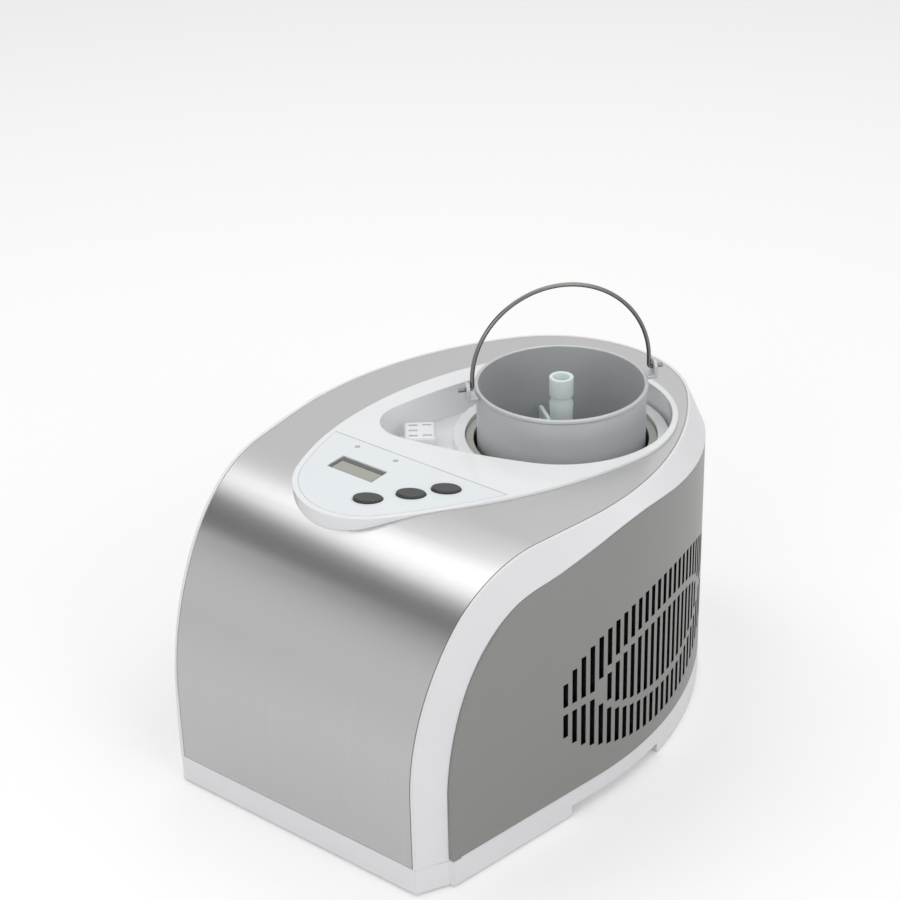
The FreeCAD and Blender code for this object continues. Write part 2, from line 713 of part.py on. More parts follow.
def control_board():
    board = block(BOARD, BOARD_LENGTH, BOARD_WIDTH, 0, BOARD_Z - BOARD_SHEET, BOARD_Z)
    parts = [board]
    for place in BUTTONS.values():
        high = flange_top(place) - BUTTON_FLANGE - BUTTON_TRAVEL - FIT
        parts.append(block(place, SWITCH, SWITCH, 0, BOARD_Z, high))
    return joined(parts)


def contact_blocks(length, width, low, high):
    """Blocks in the places of the socket's contacts."""
    turn = FreeCAD.Rotation(V(0, 0, 1), SOCKET_TURN)
    places = [SOCKET + turn.multVec(place) for place in CONTACTS]
    return [block(place, length, width, SOCKET_TURN, low, high) for place in places]


def connector_socket():
    top = RECESS_FLOOR + SOCKET_HEIGHT
    body = block(SOCKET, SOCKET_LENGTH, SOCKET_WIDTH, SOCKET_TURN, RECESS_FLOOR, top)
    body = body.makeChamfer(SOCKET_EDGE, [edge for edge in body.Edges if edge.BoundBox.ZMin > top - FIT])
    return body.cut(contact_blocks(CONTACT_LENGTH, CONTACT_SLOT, top - CONTACT_DEPTH, FAR))


def socket_contacts():
    low = RECESS_FLOOR + SOCKET_HEIGHT - CONTACT_DEPTH
    length = CONTACT_LENGTH - 2 * FIT
    return Part.makeCompound(contact_blocks(length, CONTACT_SHEET, low, low + CONTACT_HEIGHT))


def well_ring():
    low = RING_TOP - RING_SHEET
    return rod(WELL, WELL_RADIUS - FIT, low, RING_TOP).cut(rod(WELL, POT_RADIUS, low, RING_TOP))


def cooling_pot():
    floor = BOWL_SEAT - FIT
    cup = rod(WELL, POT_OUTER, POT_UNDER, RING_TOP - RING_SHEET)
    return cup.cut(rod(WELL, POT_RADIUS, floor, RING_TOP))


def evaporator_sleeve():
    low, high = BOWL_SEAT, RECESS_UNDER - SLEEVE_DROP
    return rod(WELL, POT_OUTER + SLEEVE_SHEET, low, high).cut(rod(WELL, POT_OUTER, low, high))


def insulation_jacket():
    outline = ring(WELL, V(1, 0), V(0, 1), JACKET_RADIUS, JACKET_SIDES)
    block_of_foam = prism(outline, JACKET_BASE, RECESS_UNDER)
    hollow = rod(WELL, POT_OUTER + SLEEVE_SHEET + FIT, POT_UNDER, FAR)
    return block_of_foam.cut([hollow] + cold_pipes(PIPE_RADIUS + FIT))


def bowl():
    low, wall = BOWL_BASE, BOWL_RADIUS - BOWL_WALL
    floor, roll, pin = low + BOWL_WALL, BOWL_RADIUS + ROLL, low + PIN_HEIGHT
    return turned(WELL, [(0, low), (BOWL_RADIUS - BOWL_CORNER, low), (BOWL_RADIUS, low + BOWL_CORNER),
                         (BOWL_RADIUS, RIM_Z - ROLL_HEIGHT), (roll, RIM_Z - ROLL_HEIGHT), (roll, RIM_Z),
                         (wall, RIM_Z), (wall, low + BOWL_CORNER), (BOWL_RADIUS - BOWL_CORNER, floor),
                         (PIN_RADIUS, floor), (PIN_RADIUS, pin), (0, pin)])


def bowl_ears():
    top = RIM_Z - EAR_DROP
    low, inner = top - EAR_SHEET, EAR_REACH - EAR_SHEET
    half = EAR_WIDTH / 2
    shelf = box(V(BOWL_RADIUS - BOWL_WALL, -half, low), V(EAR_REACH, half, top))
    cheek = box(V(inner, -half, low), V(EAR_REACH, half, HINGE_Z))
    crown = Part.makeCylinder(half, EAR_SHEET, V(inner, 0, HINGE_Z), V(1, 0, 0))
    hole = Part.makeCylinder(BAIL_WIRE + RUN, FAR, V(0, 0, HINGE_Z), V(1, 0, 0))
    ear = joined([shelf, cheek, crown]).cut(hole)
    return Part.makeCompound([placed(ear.copy(), WELL, EAR_ANGLE + turn).cut(bowl()) for turn in (0, 180)])


def bail_handle():
    """Wire arch with round stubs that turn in the ears."""
    z, reach, leg = HINGE_Z, BAIL_RADIUS, HINGE_Z + BAIL_LEG
    corner = BAIL_BEND * (1 - math.sqrt(0.5))
    stubs = []
    edges = [arc(V(reach, 0, leg), V(0, 0, leg + reach), V(-reach, 0, leg))]
    for side in (1, -1):
        inner, rise = V(side * (reach + BAIL_BEND), 0, z), V(side * reach, 0, z + BAIL_BEND)
        stubs.append(Part.makeCylinder(BAIL_WIRE, BAIL_STUB - reach - BAIL_BEND, inner, V(side, 0, 0)))
        edges.append(arc(inner, V(side * (reach + corner), 0, z + corner), rise))
        edges.append(Part.makeLine(rise, V(side * reach, 0, leg)))
    path = Part.Wire(Part.__sortEdges__(edges))
    end = path.OrderedVertexes[0].Point
    wire = path.makePipeShell([ring(end, V(0, 1, 0), V(0, 0, 1), BAIL_WIRE, BAIL_SIDES)], True, False)
    return placed(joined([wire] + stubs), WELL, EAR_ANGLE)


def dasher():
    low, top = BOWL_BASE + BOWL_WALL + FIT, RIM_Z + HUB_PROUD
    bore = PIN_RADIUS + RUN
    shaft = bore + SHAFT_WALL
    deep = BOWL_BASE + PIN_HEIGHT + FIT
    tube_foot = top - HUB_TUBE
    hub = turned(WELL, [(bore, low), (shaft, low), (shaft, top - HUB_SKIRT), (HUB_RADIUS, top - HUB_BULGE),
                        (HUB_NECK, tube_foot), (HUB_RADIUS, tube_foot), (HUB_RADIUS, top), (HUB_BORE, top),
                        (HUB_BORE, tube_foot), (0, tube_foot - HUB_FLOOR), (0, deep), (bore, deep)])
    half = BLADE_SHEET / 2
    high = low + BLADE_HEIGHT
    blades = box(V(-BLADE_REACH, -half, low), V(BLADE_REACH, half, high))
    window = box(V(shaft, -FAR, low + BLADE_BAR), V(BLADE_REACH - BLADE_BAR, FAR, high - BLADE_BAR))
    blades = placed(blades.cut(both(window)), WELL, EAR_ANGLE + 90).cut(rod(WELL, shaft - half, 0, FAR))
    return joined([hub, blades])


def compressor():
    low, high, radius = COMPRESSOR_LOW, COMPRESSOR_TOP, COMPRESSOR_RADIUS
    can = turned(COMPRESSOR, [(0, low), (radius, low), (radius, high - DOME_HEIGHT),
                              (DOME_RADIUS, high), (0, high)])
    plate = block(COMPRESSOR, PLATE, PLATE, 0, low, low + PLATE_SHEET)
    terminals = block(COMPRESSOR + V(radius, 0), TERMINAL_LENGTH, TERMINAL_WIDTH, 0,
                      low + TERMINAL_RISE, low + TERMINAL_RISE + TERMINAL_HEIGHT)
    return joined([can, plate, terminals])


def compressor_mounts():
    reach = (PLATE - MOUNT) / 2
    places = [COMPRESSOR + V(reach * side, reach * end) for side in (-1, 1) for end in (-1, 1)]
    return Part.makeCompound([block(place, MOUNT, MOUNT, 0, FLOOR_Z, COMPRESSOR_LOW) for place in places])


def condenser():
    front = FAN_Y - CONDENSER_HALF
    core = box(V(CONDENSER_X, front, FLOOR_Z), V(CONDENSER_INNER, FAN_Y + CONDENSER_HALF, CONDENSER_TOP))
    pitch = (2 * CONDENSER_HALF - FIN_SHEET) / CONDENSER_FINS
    gaps = []
    for fin in range(CONDENSER_FINS):
        y = front + fin * pitch
        gaps.append(box(V(CONDENSER_X, y + FIN_SHEET, FLOOR_Z + FIN_EDGE),
                        V(CONDENSER_INNER - FIN_EDGE, y + pitch, CONDENSER_TOP - FIN_EDGE)))
    return core.cut(gaps)


def along_x(radius, start, end):
    return Part.makeCylinder(radius, end - start, V(start, FAN_Y, FAN_Z), V(1, 0, 0))


def beside_fan(start, end, across_half, up_half):
    """Box on the fan's axis."""
    return box(V(start, FAN_Y - across_half, FAN_Z - up_half), V(end, FAN_Y + across_half, FAN_Z + up_half))


def fan_shroud():
    end = CONDENSER_INNER + SHROUD_SHEET
    half, web = CONDENSER_HALF, end - SHROUD_WALL
    body = beside_fan(CONDENSER_INNER, end, half, half)
    body = body.cut(along_x(FAN_RADIUS + FAN_TIP, CONDENSER_INNER, end))
    struts = [beside_fan(web, end, STRUT / 2, half), beside_fan(web, end, half, STRUT / 2)]
    plate = beside_fan(web, end, FAN_HUB, FAN_HUB)
    return joined([body, plate] + struts).cut(along_x(FAN_SHAFT + GUIDE, web, end))


def fan_motor():
    end = CONDENSER_INNER + SHROUD_SHEET
    shaft = along_x(FAN_SHAFT, CONDENSER_INNER + FAN_TIP, end)
    return joined([beside_fan(end, end + MOTOR_LENGTH, FAN_HUB, FAN_HUB), shaft])


def fan_impeller():
    start = CONDENSER_INNER + FAN_TIP
    end = CONDENSER_INNER + SHROUD_SHEET - SHROUD_WALL - FAN_TIP
    wide = end - start
    blades = [along_x(FAN_HUB, start, end)]
    for count in range(FAN_BLADES):
        blade = box(V(-wide / 2, -FAN_BLADE / 2, 0), V(wide / 2, FAN_BLADE / 2, FAN_RADIUS))
        blade.rotate(V(), V(0, 0, 1), FAN_PITCH)
        blade.rotate(V(), V(1, 0, 0), 360 * count / FAN_BLADES)
        blade.translate(V((start + end) / 2, FAN_Y, FAN_Z))
        blades.append(blade)
    return joined(blades).cut(along_x(FAN_SHAFT + RUN, CONDENSER_X, end + FAN_TIP))


def pipe(points, radius):
    """Pipe along straight runs, mitred at its corners."""
    run = (points[1] - points[0]).normalize()
    first = V(run.z, run.x, run.y)
    outline = ring(points[0], first, run.cross(first), radius, PIPE_SIDES)
    return Part.makePolygon(points).makePipeShell([outline], True, False, 1)


def cold_pipes(radius):
    """Suction pipe from the evaporator to the compressor, and capillary from the drier to it."""
    suction = COMPRESSOR + V(COLD_PIPE, 0)
    high = COMPRESSOR_TOP + HOT_RISE
    top = DRIER_LOW + DRIER_LENGTH
    from_cold = [at(suction, COMPRESSOR_TOP), at(suction, high), V(WELL.x, suction.y, high), at(WELL, high)]
    to_cold = [at(DRIER, top), at(DRIER, CAPILLARY_Z), V(CAPILLARY_X, DRIER.y, CAPILLARY_Z),
               V(CAPILLARY_X, WELL.y, CAPILLARY_Z)]
    return [pipe(from_cold, radius), pipe(to_cold, radius)]


def refrigerant_pipes():
    """Pipes of the cooling circuit; the cold ones end on the evaporator sleeve."""
    front = FAN_Y - CONDENSER_HALF
    hot, side = COMPRESSOR - V(COLD_PIPE, 0), CONDENSER_X + HOT_PIPE
    high, low = COMPRESSOR_TOP + HOT_RISE, CONDENSER_TOP - HOT_FALL
    hot_pipe = pipe([at(hot, COMPRESSOR_TOP), at(hot, high), V(side, hot.y, high), V(side, hot.y, low),
                     V(side, front, low)], PIPE_RADIUS)
    liquid = pipe([V(DRIER.x, front, LIQUID_Z), at(DRIER, LIQUID_Z), at(DRIER, DRIER_LOW)], PIPE_RADIUS)
    core = rod(WELL, POT_OUTER + SLEEVE_SHEET, 0, FAR)
    return Part.makeCompound([hot_pipe, liquid] + [cold.cut(core) for cold in cold_pipes(PIPE_RADIUS)])


def filter_drier():
    return rod(DRIER, DRIER_RADIUS, DRIER_LOW, DRIER_LOW + DRIER_LENGTH)


def power_board():
    corner = V(POWER_BOARD.x, POWER_BOARD.y - POWER_LENGTH / 2, FLOOR_Z)
    parts = [box(corner, corner + V(BOARD_SHEET, POWER_LENGTH, POWER_HEIGHT))]
    for place, size in ((TRANSFORMER_PLACE, TRANSFORMER), (CAPACITOR_PLACE, CAPACITOR)):
        low = corner + place - V(size.x, 0, 0)
        parts.append(box(low, low + size))
    return joined(parts)


def make_parts():
    os.makedirs("parts", exist_ok=True)
    save("base_tray", base_tray())
    save("rubber_feet", rubber_feet())
    save("body_frame", body_frame())
    save("front_top_panel", front_top_panel())
    save("right_side_cover", right_side_cover())
    save("left_side_cover", mirrored(right_side_cover()))
    save("rear_cover", rear_cover())
    save("cord_gland", cord_gland())
    save("top_insert", top_insert())
    save("control_overlay", control_overlay())
    save("display_window", display_window())
    save("display_module", display_module())
    save("indicator_lenses", indicator_lenses())
    save("control_board", control_board())
    for name, place in BUTTONS.items():
        save(name, push_button(place))
    save("connector_socket", connector_socket())
    save("socket_contacts", socket_contacts())
    save("well_ring", well_ring())
    save("cooling_pot", cooling_pot())
    save("evaporator_sleeve", evaporator_sleeve())
    save("insulation_jacket", insulation_jacket())
    save("bowl", bowl())
    save("bowl_ears", bowl_ears())
    save("bail_handle", bail_handle())
    save("dasher", dasher())
    save("compressor", compressor())
    save("compressor_mounts", compressor_mounts())
    save("condenser", condenser())
    save("fan_shroud", fan_shroud())
    save("fan_motor", fan_motor())
    save("fan_impeller", fan_impeller())
    save("refrigerant_pipes", refrigerant_pipes())
    save("filter_drier", filter_drier())
    save("power_board", power_board())


make_parts()
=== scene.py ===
"""Looks and studio of a self-cooling ice cream maker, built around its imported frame.

Places and sizes of new pieces are in millimetres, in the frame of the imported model: X to the
right, Y to the rear and Z up, from the middle of the footprint at floor level. Those of the
studio are in metres, in the same frame.
"""
import json
import math

import bmesh
import bpy
from mathutils import Matrix, Vector


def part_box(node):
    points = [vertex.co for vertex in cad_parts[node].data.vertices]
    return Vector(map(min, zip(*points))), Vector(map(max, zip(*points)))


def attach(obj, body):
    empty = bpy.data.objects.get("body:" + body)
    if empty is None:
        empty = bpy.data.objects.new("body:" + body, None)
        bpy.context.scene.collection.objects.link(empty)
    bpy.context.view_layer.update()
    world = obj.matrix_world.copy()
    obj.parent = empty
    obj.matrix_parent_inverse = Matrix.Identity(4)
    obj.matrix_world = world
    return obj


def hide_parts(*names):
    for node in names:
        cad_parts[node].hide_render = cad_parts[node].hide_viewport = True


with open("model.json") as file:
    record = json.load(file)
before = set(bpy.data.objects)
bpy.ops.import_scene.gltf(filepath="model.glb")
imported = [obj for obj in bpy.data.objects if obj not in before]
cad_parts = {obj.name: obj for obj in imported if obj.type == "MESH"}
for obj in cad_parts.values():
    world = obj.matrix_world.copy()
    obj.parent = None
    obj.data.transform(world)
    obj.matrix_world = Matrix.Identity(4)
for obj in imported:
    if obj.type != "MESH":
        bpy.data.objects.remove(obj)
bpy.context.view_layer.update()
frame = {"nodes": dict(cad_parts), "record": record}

MM = 0.001
QUARTER_TURN = math.pi / 2
CRISP = math.radians(28)  # an edge turned by more than this stays crisp
FLAT = math.radians(1)  # faces turned by less than this become one
MERGE = 0.002 * MM  # vertices nearer than this become one

WELL = Vector((25, 66.5, 0))  # axis of the well, the bowl and the paddle
EAR_BEARING = math.radians(53)  # of the line through the bowl's two ears
BOWL_BASE = 113.0
BOWL_RIM = 243.0
PIN_TOP = BOWL_BASE + 24
HINGE_Z = 246.0  # of the bail, in the ears

LAMPS = (  # name, place, the point that it faces, width, power in watts
    ("key", (-1.3, -0.33, 1.9), (0, -0.1, 0.15), 1.0, 4.2),
    ("front", (0.4, -2.2, 1.1), (0, 0, 0.12), 1.2, 8),
    ("side", (1.9, -0.4, 1.2), (0, 0, 0.12), 1.2, 6),
    ("overhead", (0.0, 0.5, 2.3), (0, 0, 0.2), 2.4, 17),
)


# Materials

PLASTIC_IOR = 1.53
FLOW_MARK = 45  # width of the marks that the melt leaves in a moulding
EDGE_SAMPLES = 6  # rays that find an edge near by, to shade it as rounded
NOISE_SPREAD = {"From Min": 0.3, "From Max": 0.7}  # where most of a noise lies
FACTOR, FIRST, SECOND, MIXED = 0, 6, 7, 2  # sockets of a Mix node that mixes colours


def linear(code):
    """Linear colour of an sRGB hex value."""
    shares = [int(code[place:place + 2], 16) / 255 for place in (1, 3, 5)]
    return tuple(c / 12.92 if c <= 0.04045 else ((c + 0.055) / 1.055) ** 2.4
                 for c in shares) + (1.0,)


def set_values(node, values):
    """Set the values of a node's sockets."""
    for socket, value in values.items():
        node.inputs[socket].default_value = value


def link(tree, node, sources):
    """Lead outputs of other nodes to sockets of a node."""
    for socket, source in sources.items():
        tree.links.new(source, node.inputs[socket])


def add(tree, kind, links=None, values=None, **settings):
    """Add a node with its settings, the values of its sockets, and the links that lead to it."""
    node = tree.nodes.new(kind)
    for name, value in settings.items():
        setattr(node, name, value)
    set_values(node, values or {})
    link(tree, node, links or {})
    return node


def waves_per_metre(size):
    """Texture scale for a pattern whose grains are this many millimetres wide."""
    return 1 / (size * MM)


def finish(name, values):
    """Start a material, with the values that are the same all over its surface."""
    material = bpy.data.materials.new(name)
    material.use_nodes = True
    shader = material.node_tree.nodes["Principled BSDF"]
    set_values(shader, values)
    return material, material.node_tree, shader


def moulded(name, pale, deep, roughness, grain, relief, edge=0.5, coat=0.0):
    """Moulded piece: broad flow marks in the colour, and the fine grain that the mould leaves.

    Grain, relief and the rounding of edges are in millimetres. The real grain is about 0.1 mm
    wide, and is drawn coarser so that it shows.
    """
    smoother, rougher = roughness - 0.05, roughness + 0.07  # on the grain and between it
    material, tree, shader = finish(name, {"Roughness": roughness, "IOR": PLASTIC_IOR,
                                           "Coat Weight": coat})
    place = add(tree, "ShaderNodeTexCoord").outputs["Object"]
    flow = add(tree, "ShaderNodeTexNoise", {"Vector": place},
               {"Scale": waves_per_metre(FLOW_MARK), "Detail": 3.0})
    tone = add(tree, "ShaderNodeMix", {FACTOR: flow.outputs["Fac"]},
               {FIRST: linear(pale), SECOND: linear(deep)}, data_type="RGBA")
    pores = add(tree, "ShaderNodeTexNoise", {"Vector": place},
                {"Scale": waves_per_metre(grain), "Detail": 2.0})
    sheen = add(tree, "ShaderNodeMapRange", {"Value": pores.outputs["Fac"]},
                {**NOISE_SPREAD, "To Min": smoother, "To Max": rougher})
    corner = add(tree, "ShaderNodeBevel", None, {"Radius": edge * MM}, samples=EDGE_SAMPLES)
    bump = add(tree, "ShaderNodeBump",
               {"Height": pores.outputs["Fac"], "Normal": corner.outputs["Normal"]},
               {"Strength": 0.35, "Distance": relief * MM})
    link(tree, shader, {"Base Color": tone.outputs[MIXED], "Roughness": sheen.outputs["Result"],
                        "Normal": bump.outputs["Normal"]})
    return material


def drawn_metal(name, pale, deep, roughness, streak, relief, uneven=0.06, metallic=1.0):
    """Rolled, spun or drawn metal: streaks in colour, gloss and relief.

    The streaks' widths along X, Y and Z are in millimetres. Real ones are about 0.1 mm wide, and
    the narrow ones are drawn coarser so that they show.
    """
    material, tree, shader = finish(name, {"Roughness": roughness, "Metallic": metallic})
    place = add(tree, "ShaderNodeTexCoord").outputs["Object"]
    stretch = add(tree, "ShaderNodeMapping", {"Vector": place},
                  {"Scale": tuple(waves_per_metre(size) for size in streak)})
    lines = add(tree, "ShaderNodeTexNoise", {"Vector": stretch.outputs["Vector"]},
                {"Scale": 1.0, "Detail": 4.0, "Roughness": 0.6})
    tone = add(tree, "ShaderNodeMix", {FACTOR: lines.outputs["Fac"]},
               {FIRST: linear(pale), SECOND: linear(deep)}, data_type="RGBA")
    gloss = add(tree, "ShaderNodeMapRange", {"Value": lines.outputs["Fac"]},
                {**NOISE_SPREAD, "To Min": roughness - uneven, "To Max": roughness + uneven})
    bump = add(tree, "ShaderNodeBump", {"Height": lines.outputs["Fac"]},
               {"Strength": 0.25, "Distance": relief * MM})
    link(tree, shader, {"Base Color": tone.outputs[MIXED], "Roughness": gloss.outputs["Result"],
                        "Normal": bump.outputs["Normal"]})
    return material


def brushed_stainless():
    """Stainless sheet, brushed along its bend, so that front-to-rear streaks draw out reflections.

    Real brush marks are about 0.1 mm wide, and are drawn 0.5 mm wide so that they show.
    """
    material = drawn_metal("brushed_stainless", "#cbcbcb", "#c3c3c3", roughness=0.30,
                           streak=(0.5, 160, 160), relief=0.001, uneven=0.02)
    tree = material.node_tree
    shader = tree.nodes["Principled BSDF"]
    set_values(shader, {"Anisotropic": 0.55})
    along = add(tree, "ShaderNodeTangent", direction_type="RADIAL", axis="X")
    link(tree, shader, {"Tangent": along.outputs["Tangent"]})
    return material


def satin_lacquer():
    """Grey lacquer with a fine metal flake: a soft sheen, and a slight orange peel 2 mm wide.

    Where ambient occlusion finds the walls of the slots, the colour goes to near black: painted
    shade. A real flake is about 0.05 mm wide, and is drawn 0.6 mm wide so that it shows.
    """
    flake_size, peel_size, edge, slot_depth = 0.6, 2.0, 0.4, 8
    hidden, open_air = 0.75, 0.97  # share of the surroundings that is open, in slots and outside
    material, tree, shader = finish("satin_lacquer", {"Roughness": 0.42, "Metallic": 0.35,
                                                      "Coat Weight": 0.15})
    place = add(tree, "ShaderNodeTexCoord").outputs["Object"]
    flake = add(tree, "ShaderNodeTexNoise", {"Vector": place},
                {"Scale": waves_per_metre(flake_size), "Detail": 2.0})
    tone = add(tree, "ShaderNodeMix", {FACTOR: flake.outputs["Fac"]},
               {FIRST: linear("#9a9a98"), SECOND: linear("#8c8c8a")}, data_type="RGBA")
    # painted shade: the colour goes to near black where ambient occlusion finds the walls of the
    # slots
    hollow = add(tree, "ShaderNodeAmbientOcclusion", None, {"Distance": slot_depth * MM},
                 samples=8, only_local=True)
    reach = add(tree, "ShaderNodeMapRange", {"Value": hollow.outputs["AO"]},
                {"From Min": hidden, "From Max": open_air})
    # near black painted shade in the slots, and the lacquer's own tone outside them
    slot_shaded_tone = add(tree, "ShaderNodeMix",
                 {FACTOR: reach.outputs["Result"], SECOND: tone.outputs[MIXED]},
                 {FIRST: linear("#0b0b0b")}, data_type="RGBA")
    peel = add(tree, "ShaderNodeTexNoise", {"Vector": place},
               {"Scale": waves_per_metre(peel_size), "Detail": 1.0})
    corner = add(tree, "ShaderNodeBevel", None, {"Radius": edge * MM}, samples=EDGE_SAMPLES)
    bump = add(tree, "ShaderNodeBump",
               {"Height": peel.outputs["Fac"], "Normal": corner.outputs["Normal"]},
               {"Strength": 0.2, "Distance": 0.02 * MM})
    link(tree, shader, {"Base Color": slot_shaded_tone.outputs[MIXED], "Normal": bump.outputs["Normal"]})
    return material


def polypropylene():
    """Unpigmented polypropylene: waxy, and light goes a little way in."""
    material = moulded("polypropylene", "#eef5f5", "#e3eeee", roughness=0.34, grain=0.8,
                       relief=0.01)
    set_values(material.node_tree.nodes["Principled BSDF"],
               {"Subsurface Weight": 0.35, "Subsurface Radius": (0.8, 1.0, 1.0),
                "Subsurface Scale": 3 * MM})
    return material


MATERIALS = {
    # ABS from a polished mould: white, with clear highlights
    "white_plastic": moulded("glossy_abs", "#f6f7f8", "#eef0f2", roughness=0.20, grain=0.9,
                             relief=0.006, coat=0.25),
    # ABS from a fine-grained mould: white, with wide soft highlights and soft edges
    "frame_plastic": moulded("satin_abs", "#f1f1f3", "#eaeaed", roughness=0.34, grain=0.5,
                             relief=0.01, edge=1.0),
    "stainless": brushed_stainless(),
    "cover_grey": satin_lacquer(),
    # Moulded rubber: dark and dry, with almost no highlight
    "rubber": moulded("moulded_rubber", "#2e2e2f", "#232324", roughness=0.72, grain=0.7,
                      relief=0.05),
    # Film printed on its underside: a cool white with an even, low sheen
    "overlay_film": moulded("printed_film", "#f0f4f7", "#e9eff3", roughness=0.33, grain=0.4,
                            relief=0.008, edge=0.15),
    # Acrylic window over the display: greenish grey, with a sharp reflection
    "display_glass": moulded("display_acrylic", "#a9aaa2", "#9d9e96", roughness=0.12, grain=3.0,
                             relief=0.002, coat=0.4),
    # Liquid crystal cell: a flat greenish grey
    "display_body": moulded("display_cell", "#82857d", "#787b73", roughness=0.5, grain=0.5,
                            relief=0.01),
    # Acrylic lamp lens: pale green, with one small bright highlight
    "lamp_lens": moulded("lens_acrylic", "#c9d2ca", "#b7c0b8", roughness=0.15, grain=0.5,
                         relief=0.01, coat=0.3),
    # ABS of the buttons: near black, with a soft highlight on the rounded edge
    "button_charcoal": moulded("charcoal_abs", "#3a3c3c", "#323434", roughness=0.3, grain=0.8,
                               relief=0.003),
    # Glass fibre board under solder lacquer: green, half gloss
    "board": moulded("circuit_board", "#33704e", "#28593d", roughness=0.45, grain=1.2,
                     relief=0.02),
    # Rolled brass: warm yellow, with fine rolling lines
    "contact_metal": drawn_metal("brass_strip", "#c4a65e", "#a88a45", roughness=0.3,
                                 streak=(0.5, 8, 8), relief=0.01),
    # Pigmented polypropylene: a warm grey, dull and a little waxy
    "ring_grey": moulded("grey_polypropylene", "#bebfb7", "#b2b3ab", roughness=0.42, grain=0.6,
                         relief=0.02),
    # Deep-drawn aluminium: pale metal with level rings
    "pot_aluminium": drawn_metal("drawn_aluminium", "#bec2c3", "#aab0b1", roughness=0.36,
                                 streak=(60, 60, 0.9), relief=0.01),
    # Rigid foam, painted near black as shade so that the grilles look dark inside: dull
    "foam": moulded("foam_painted_dark", "#2b2b2a", "#222221", roughness=0.8, grain=1.5,
                    relief=0.1),
    # Anodised aluminium: a matte pale grey, in which level spinning lines just show
    "bowl_aluminium": drawn_metal("anodised_aluminium", "#cbcdce", "#c2c4c5", roughness=0.5,
                                  streak=(70, 70, 0.8), relief=0.004, metallic=0.55),
    # Polished steel wire: dark, with narrow highlights
    "bail_steel": drawn_metal("steel_wire", "#8b8885", "#797673", roughness=0.26,
                              streak=(20, 20, 20), relief=0.001),
    "dasher_plastic": polypropylene(),
    # Enamel on steel: black, with a soft gloss
    "black_paint": moulded("black_enamel", "#232425", "#1a1b1c", roughness=0.35, grain=1.5,
                           relief=0.01),
    # Drawn copper tube: warm red metal with upright lines
    "copper": drawn_metal("drawn_copper", "#c07b5a", "#a9654a", roughness=0.32,
                          streak=(3, 3, 20), relief=0.006),
    # Pressed aluminium fins: bright, with upright lines
    "fin_aluminium": drawn_metal("pressed_fins", "#b4b8ba", "#9fa3a5", roughness=0.4,
                                 streak=(2, 2, 30), relief=0.01),
    # ABS of the fan: black and fairly dull
    "fan_black": moulded("black_abs", "#282929", "#1f2020", roughness=0.45, grain=0.6,
                         relief=0.02),
}

# Mid grey frame in the display's pocket: painted shade of the pocket's walls, which makes the
# display look sunk
POCKET_SHADE = moulded("pocket_shade_grey", "#6c6d68", "#62635e", roughness=0.5, grain=0.5, relief=0.01, edge=0.1)
# Grey line at the film's edge: the joint, with the shade along it painted in as a dull grey
SEAM = moulded("seam_shade_grey", "#b9bcc1", "#b2b5ba", roughness=0.7, grain=0.5, relief=0.01,
               edge=0.1)


# Pieces

def new_object(name, data):
    """Object of a mesh, a lamp or a camera, at the origin of the scene."""
    obj = bpy.data.objects.new(name, data)
    bpy.context.scene.collection.objects.link(obj)
    return obj


def mesh_object(name, bm):
    """Object of a finished bmesh."""
    mesh = bpy.data.meshes.new(name)
    bm.to_mesh(mesh)
    bm.free()
    return new_object(name, mesh)


def paint(obj, slot):
    """Give a piece the material of one of the record's slots."""
    obj.data.materials.clear()
    obj.data.materials.append(MATERIALS[slot])


def piece(name, bm, finished, body, stands_for=None):
    """Turn a finished bmesh into a piece on a body, smooth between its crisp edges.

    The finish is the record's slot, or a material of the scene's own.
    """
    for face in bm.faces:
        face.smooth = True
    for edge in bm.edges:
        edge.smooth = len(edge.link_faces) == 2 and edge.calc_face_angle(0.0) < CRISP
    obj = mesh_object(name, bm)
    if finished in MATERIALS:
        paint(obj, finished)
    else:
        obj.data.materials.append(finished)
    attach(obj, body)
    if stands_for:
        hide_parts(stands_for)
    return obj


def merged_copy(node):
    """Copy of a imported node, with its loose triangles joined."""
    bm = bmesh.new()
    bm.from_mesh(frame["nodes"][node].data)
    bmesh.ops.remove_doubles(bm, verts=bm.verts, dist=MERGE)
    return bm


def shell(node, slot, body="housing", round_edge=0.0):
    """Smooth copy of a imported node, with its edges rounded where a radius is given."""
    bm = merged_copy(node)
    if round_edge:
        bmesh.ops.dissolve_limit(bm, angle_limit=FLAT, verts=bm.verts, edges=bm.edges)
    obj = piece(node + "_finished", bm, slot, body, node)
    if round_edge:
        bevel = obj.modifiers.new("edge", "BEVEL")
        bevel.width = round_edge * MM
        bevel.segments = 3
        bevel.limit_method = "ANGLE"
        bevel.angle_limit = CRISP
    weighted = obj.modifiers.new("normals", "WEIGHTED_NORMAL")
    weighted.keep_sharp = True


def turned(profile, steps=96):
    """Round shell from a line of (radius, height) points, round the Z axis."""
    bm = bmesh.new()
    points = [bm.verts.new((radius * MM, 0, height * MM)) for radius, height in profile]
    line = [bm.edges.new(pair) for pair in zip(points, points[1:])]
    bmesh.ops.spin(bm, geom=points + line, cent=(0, 0, 0), axis=(0, 0, 1), angle=4 * QUARTER_TURN,
                   steps=steps, use_merge=True)
    bmesh.ops.remove_doubles(bm, verts=bm.verts, dist=MERGE)
    bmesh.ops.recalc_face_normals(bm, faces=bm.faces)
    return bm


def move(bm, verts, step):
    """Move vertices by a step."""
    bmesh.ops.translate(bm, verts=verts, vec=Vector(step) * MM)


def vertices_in(grown):
    """Vertices among what an operator made."""
    return [item for item in grown["geom"] if isinstance(item, bmesh.types.BMVert)]


